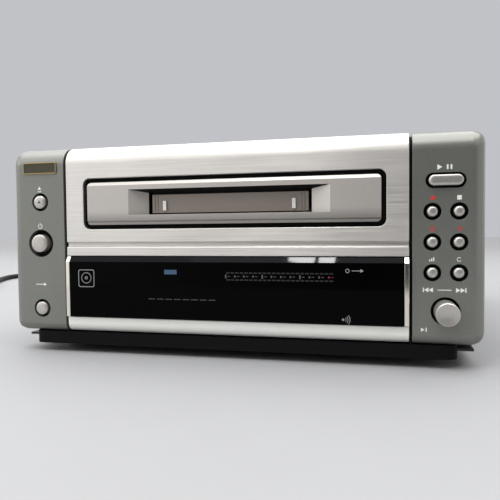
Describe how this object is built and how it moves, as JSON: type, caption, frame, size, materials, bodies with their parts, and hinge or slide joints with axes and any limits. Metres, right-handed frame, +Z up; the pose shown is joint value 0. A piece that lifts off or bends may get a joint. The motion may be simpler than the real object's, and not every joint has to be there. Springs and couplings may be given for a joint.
{
  "type": "minidisc deck",
  "caption": "Compact half-width minidisc recorder: brushed champagne fascia between rounded grey end blocks, slot loader with flap, gloss display window, push buttons and a jog knob, mains cord",
  "frame": {"origin": "middle of the deck's footprint on the surface it stands on, the mains cord left out", "axes": "+Z up, +X to the right for a user facing the front, +Y to the back, so the front faces -Y"},
  "size_m": [0.5026, 0.4377, 0.095],
  "materials": {
    "top_cover": "fine black paint",
    "bottom_chassis": "zinc-plated sheet",
    "rear_panel": "fine black paint",
    "front_fascia": "fine horizontal brushing, clear anodised",
    "left_end_block": "satin metallic grey paint",
    "right_end_block": "satin metallic grey paint",
    "front_subframe": "fine matt black",
    "loading_bezel": "satin warm grey",
    "display_window": "polished, smoke tinted",
    "window_post_left": "polished",
    "window_post_right": "polished",
    "bottom_trim_bar": "satin cream silver paint",
    "foot_front_left": "matt",
    "foot_front_right": "matt",
    "foot_rear_left": "matt",
    "foot_rear_right": "matt",
    "display_module": "dark tube glass",
    "button_board_left": "bare paper laminate",
    "button_board_right": "bare paper laminate",
    "drive_deck": "zinc-plated sheet",
    "drive_bracket": "zinc-plated sheet",
    "damper_front_left": "matt",
    "damper_front_right": "matt",
    "damper_rear_left": "matt",
    "damper_rear_right": "matt",
    "loading_motor": "zinc-plated sheet",
    "spindle_motor": "zinc-plated sheet",
    "guide_rod_left": "polished",
    "guide_rod_right": "polished",
    "sled_motor": "zinc-plated sheet",
    "main_board": "solder resist",
    "power_transformer": "varnished laminations",
    "power_board": "bare paper laminate",
    "phono_sockets": "fine matt black",
    "optical_sockets": "fine matt black",
    "cord_strain_relief": "fine matt black",
    "power_cord_run": "matt",
    "power_cord_coil": "matt",
    "power_plug": "matt",
    "eject_button": "satin silver paint",
    "standby_button": "satin silver paint",
    "input_select_button": "satin silver paint",
    "play_pause_button": "satin silver paint",
    "record_button": "satin silver paint",
    "stop_button": "satin silver paint",
    "clock_button": "satin silver paint",
    "mode_button": "satin silver paint",
    "skip_back_button": "satin silver paint",
    "skip_forward_button": "satin silver paint",
    "jog_push_shaft": "zinc-plated sheet",
    "jog_knob": "satin silver paint",
    "slot_flap": "satin warm grey",
    "loading_gear": "natural acetal",
    "loading_motor_gear": "turned",
    "loading_slide": "zinc-plated sheet",
    "disc_holder": "zinc-plated sheet",
    "turntable": "fine matt black",
    "pickup_sled": "fine matt black",
    "lead_screw": "polished",
    "magnetic_head_arm": "zinc-plated sheet"
  },
  "bodies": {
    "deck_body": {"top_cover": "top_cover", "bottom_chassis": "bottom_chassis", "rear_panel": "rear_panel", "front_fascia": "front_fascia", "left_end_block": "left_end_block", "right_end_block": "right_end_block", "front_subframe": "front_subframe", "loading_bezel": "loading_bezel", "display_window": "display_window", "window_post_left": "window_post_left", "window_post_right": "window_post_right", "bottom_trim_bar": "bottom_trim_bar", "foot_front_left": "foot_front_left", "foot_front_right": "foot_front_right", "foot_rear_left": "foot_rear_left", "foot_rear_right": "foot_rear_right", "display_module": "display_module", "button_board_left": "button_board_left", "button_board_right": "button_board_right", "drive_deck": "drive_deck", "drive_bracket": "drive_bracket", "damper_front_left": "damper_front_left", "damper_front_right": "damper_front_right", "damper_rear_left": "damper_rear_left", "damper_rear_right": "damper_rear_right", "loading_motor": "loading_motor", "spindle_motor": "spindle_motor", "guide_rod_left": "guide_rod_left", "guide_rod_right": "guide_rod_right", "sled_motor": "sled_motor", "main_board": "main_board", "power_transformer": "power_transformer", "power_board": "power_board", "phono_sockets": "phono_sockets", "optical_sockets": "optical_sockets", "cord_strain_relief": "cord_strain_relief", "power_cord_run": "power_cord_run", "power_cord_coil": "power_cord_coil", "power_plug": "power_plug"},
    "eject_key": {"eject_button": "eject_button"},
    "standby_key": {"standby_button": "standby_button"},
    "input_select_key": {"input_select_button": "input_select_button"},
    "play_pause_key": {"play_pause_button": "play_pause_button"},
    "record_key": {"record_button": "record_button"},
    "stop_key": {"stop_button": "stop_button"},
    "clock_key": {"clock_button": "clock_button"},
    "mode_key": {"mode_button": "mode_button"},
    "skip_back_key": {"skip_back_button": "skip_back_button"},
    "skip_forward_key": {"skip_forward_button": "skip_forward_button"},
    "jog_carrier": {"jog_push_shaft": "jog_push_shaft"},
    "jog_knob_body": {"jog_knob": "jog_knob"},
    "slot_flap_body": {"slot_flap": "slot_flap"},
    "loading_gear_body": {"loading_gear": "loading_gear"},
    "loading_motor_gear_body": {"loading_motor_gear": "loading_motor_gear"},
    "loading_slide_body": {"loading_slide": "loading_slide"},
    "disc_holder_body": {"disc_holder": "disc_holder"},
    "turntable_body": {"turntable": "turntable"},
    "pickup_body": {"pickup_sled": "pickup_sled"},
    "lead_screw_body": {"lead_screw": "lead_screw"},
    "head_arm_body": {"magnetic_head_arm": "magnetic_head_arm"}
  },
  "joints": [
    {"name": "eject_button_press", "type": "slide", "parent": "deck_body", "child": "eject_key", "axis": [0, 1, 0], "range_m": [0, 0.0006], "stiffness_N_per_m": 300, "springref_m": -0.0015},
    {"name": "standby_button_press", "type": "slide", "parent": "deck_body", "child": "standby_key", "axis": [0, 1, 0], "range_m": [0, 0.0006], "stiffness_N_per_m": 300, "springref_m": -0.0015},
    {"name": "input_select_button_press", "type": "slide", "parent": "deck_body", "child": "input_select_key", "axis": [0, 1, 0], "range_m": [0, 0.0006], "stiffness_N_per_m": 300, "springref_m": -0.0015},
    {"name": "play_pause_button_press", "type": "slide", "parent": "deck_body", "child": "play_pause_key", "axis": [0, 1, 0], "range_m": [0, 0.0006], "stiffness_N_per_m": 300, "springref_m": -0.0015},
    {"name": "record_button_press", "type": "slide", "parent": "deck_body", "child": "record_key", "axis": [0, 1, 0], "range_m": [0, 0.0006], "stiffness_N_per_m": 300, "springref_m": -0.0015},
    {"name": "stop_button_press", "type": "slide", "parent": "deck_body", "child": "stop_key", "axis": [0, 1, 0], "range_m": [0, 0.0006], "stiffness_N_per_m": 300, "springref_m": -0.0015},
    {"name": "clock_button_press", "type": "slide", "parent": "deck_body", "child": "clock_key", "axis": [0, 1, 0], "range_m": [0, 0.0006], "stiffness_N_per_m": 300, "springref_m": -0.0015},
    {"name": "mode_button_press", "type": "slide", "parent": "deck_body", "child": "mode_key", "axis": [0, 1, 0], "range_m": [0, 0.0006], "stiffness_N_per_m": 300, "springref_m": -0.0015},
    {"name": "skip_back_button_press", "type": "slide", "parent": "deck_body", "child": "skip_back_key", "axis": [0, 1, 0], "range_m": [0, 0.0006], "stiffness_N_per_m": 300, "springref_m": -0.0015},
    {"name": "skip_forward_button_press", "type": "slide", "parent": "deck_body", "child": "skip_forward_key", "axis": [0, 1, 0], "range_m": [0, 0.0006], "stiffness_N_per_m": 300, "springref_m": -0.0015},
    {"name": "jog_press", "type": "slide", "parent": "deck_body", "child": "jog_carrier", "axis": [0, 1, 0], "range_m": [0, 0.0006], "stiffness_N_per_m": 300, "springref_m": -0.0015},
    {"name": "jog_turn", "type": "hinge", "parent": "jog_carrier", "child": "jog_knob_body", "pos_m": [0.09, -0.1315, 0.0234], "axis": [0, -1, 0], "continuous": true},
    {"name": "slot_flap_swing", "type": "hinge", "parent": "deck_body", "child": "slot_flap_body", "pos_m": [0, -0.1256, 0.0737], "axis": [1, 0, 0], "range_deg": [0, 80], "stiffness_Nm_per_rad": 0.002, "springref_deg": -17.19},
    {"name": "loading_gear_turn", "type": "hinge", "parent": "deck_body", "child": "loading_gear_body", "pos_m": [0.0476, -0.0285, 0.0543], "axis": [0, 0, -1], "range_deg": [0, 143.3]},
    {"name": "loading_motor_turn", "type": "hinge", "parent": "deck_body", "child": "loading_motor_gear_body", "pos_m": [0.0596, -0.0285, 0.0543], "axis": [0, 0, 1], "range_deg": [0, 430]},
    {"name": "loading_slide_travel", "type": "slide", "parent": "deck_body", "child": "loading_slide_body", "axis": [0, 1, 0], "range_m": [0, 0.012]},
    {"name": "holder_drop", "type": "slide", "parent": "deck_body", "child": "disc_holder_body", "axis": [0, 0, -1], "range_m": [0, 0.00501]},
    {"name": "spindle_turn", "type": "hinge", "parent": "deck_body", "child": "turntable_body", "pos_m": [0, -0.0815, 0.0594], "axis": [0, 0, 1], "continuous": true},
    {"name": "lead_screw_turn", "type": "hinge", "parent": "deck_body", "child": "lead_screw_body", "pos_m": [0.026, -0.0785, 0.0466], "axis": [0, 1, 0], "range_deg": [0, 2881]},
    {"name": "sled_travel", "type": "slide", "parent": "deck_body", "child": "pickup_body", "axis": [0, 1, 0], "range_m": [0, 0.016]},
    {"name": "head_arm_lower", "type": "hinge", "parent": "pickup_body", "child": "head_arm_body", "pos_m": [0, -0.043, 0.077], "axis": [1, 0, 0], "range_deg": [0, 8], "stiffness_Nm_per_rad": 0.01, "springref_deg": -11.46}
  ],
  "couplings": [
    {"joint": "loading_gear_turn", "follows": "loading_slide_travel", "rad_per_m": 208.33},
    {"joint": "loading_motor_turn", "follows": "loading_slide_travel", "rad_per_m": 625},
    {"joint": "holder_drop", "follows": "loading_slide_travel", "ratio": 0.41667},
    {"joint": "lead_screw_turn", "follows": "sled_travel", "rad_per_m": 3141.6}
  ]
}
